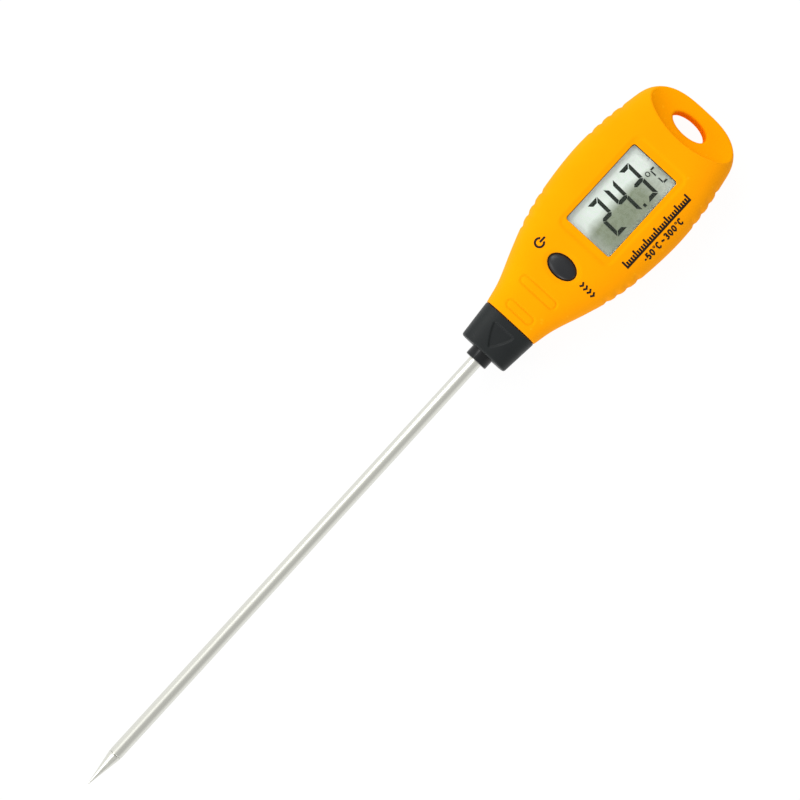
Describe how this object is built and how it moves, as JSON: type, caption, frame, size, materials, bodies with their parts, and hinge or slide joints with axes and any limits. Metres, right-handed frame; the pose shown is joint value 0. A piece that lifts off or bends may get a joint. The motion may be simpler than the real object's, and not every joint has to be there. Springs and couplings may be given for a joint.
{
  "type": "soil thermometer probe",
  "caption": "Hand-held digital soil thermometer: flattened bottle-shaped handle with hanging eye, display window and push button, black nose collar and long pointed steel probe.",
  "frame": {"origin": "centre of the flat back's plane under the middle of the overall length and width", "axes": "+Y along the probe axis from the point to the hanging eye, +Z out of the display, +X across the handle; the instrument lies on its back on z = 0"},
  "size_m": [0.0492, 0.3182, 0.026],
  "materials": {
    "orange_plastic": "fine satin texture",
    "collar_plastic": "satin",
    "bush_plastic": "semi-gloss",
    "probe_steel": "polished with faint drawing lines",
    "button_rubber": "smooth satin",
    "seal_rubber": "matte",
    "window_clear": "clear polished",
    "display_cell": null,
    "reflector_film": "diffuse silver",
    "frame_plastic": "satin white",
    "contact_strip": "matte layered",
    "board_laminate": "solder mask",
    "chip_epoxy": "semi-gloss",
    "contact_metal": "nickel plated",
    "cell_can": "polished",
    "screw_steel": "plated",
    "sensor_coating": "glazed",
    "wire_red": "satin insulation",
    "wire_white": "satin insulation"
  },
  "bodies": {
    "housing": {"front_shell": "orange_plastic", "rear_shell": "orange_plastic", "nose_collar": "collar_plastic", "nose_o_ring": "seal_rubber", "probe_bush": "bush_plastic", "probe_tube": "probe_steel", "probe_tip": "probe_steel", "sensor_bead": "sensor_coating", "sensor_wire_a": "wire_red", "sensor_wire_b": "wire_white", "wire_sleeve": "seal_rubber", "lcd_lens": "window_clear", "lcd_glass": "display_cell", "lcd_reflector": "reflector_film", "lcd_frame": "frame_plastic", "zebra_strip": "contact_strip", "circuit_board": "board_laminate", "controller_blob": "chip_epoxy", "timing_crystal": "cell_can", "switch_body": "chip_epoxy", "battery_holder": "frame_plastic", "battery_contact_positive": "contact_metal", "battery_contact_negative": "contact_metal", "battery_cell": "cell_can", "shell_screw_1": "screw_steel", "shell_screw_2": "screw_steel", "shell_screw_3": "screw_steel", "shell_screw_4": "screw_steel", "board_screw_1": "screw_steel", "board_screw_2": "screw_steel"},
    "button": {"button_cap": "button_rubber", "switch_plunger": "contact_metal"},
    "cap_seal": {"battery_cap_o_ring": "seal_rubber"},
    "battery_cap": {"battery_cap": "collar_plastic"}
  },
  "joints": [
    {"name": "button_press", "type": "slide", "parent": "housing", "child": "button", "axis": [0, 0, -1], "range_m": [0, 0.0007], "stiffness_N_per_m": 600, "springref_m": -0.0003},
    {"name": "battery_cap_lift", "type": "slide", "parent": "housing", "child": "cap_seal", "axis": [0, 0, -1], "range_m": [0, 0.006]},
    {"name": "battery_cap_turn", "type": "hinge", "parent": "cap_seal", "child": "battery_cap", "pos_m": [0, 0.112, 0], "axis": [0, 0, -1], "range_deg": [0, 60]}
  ]
}
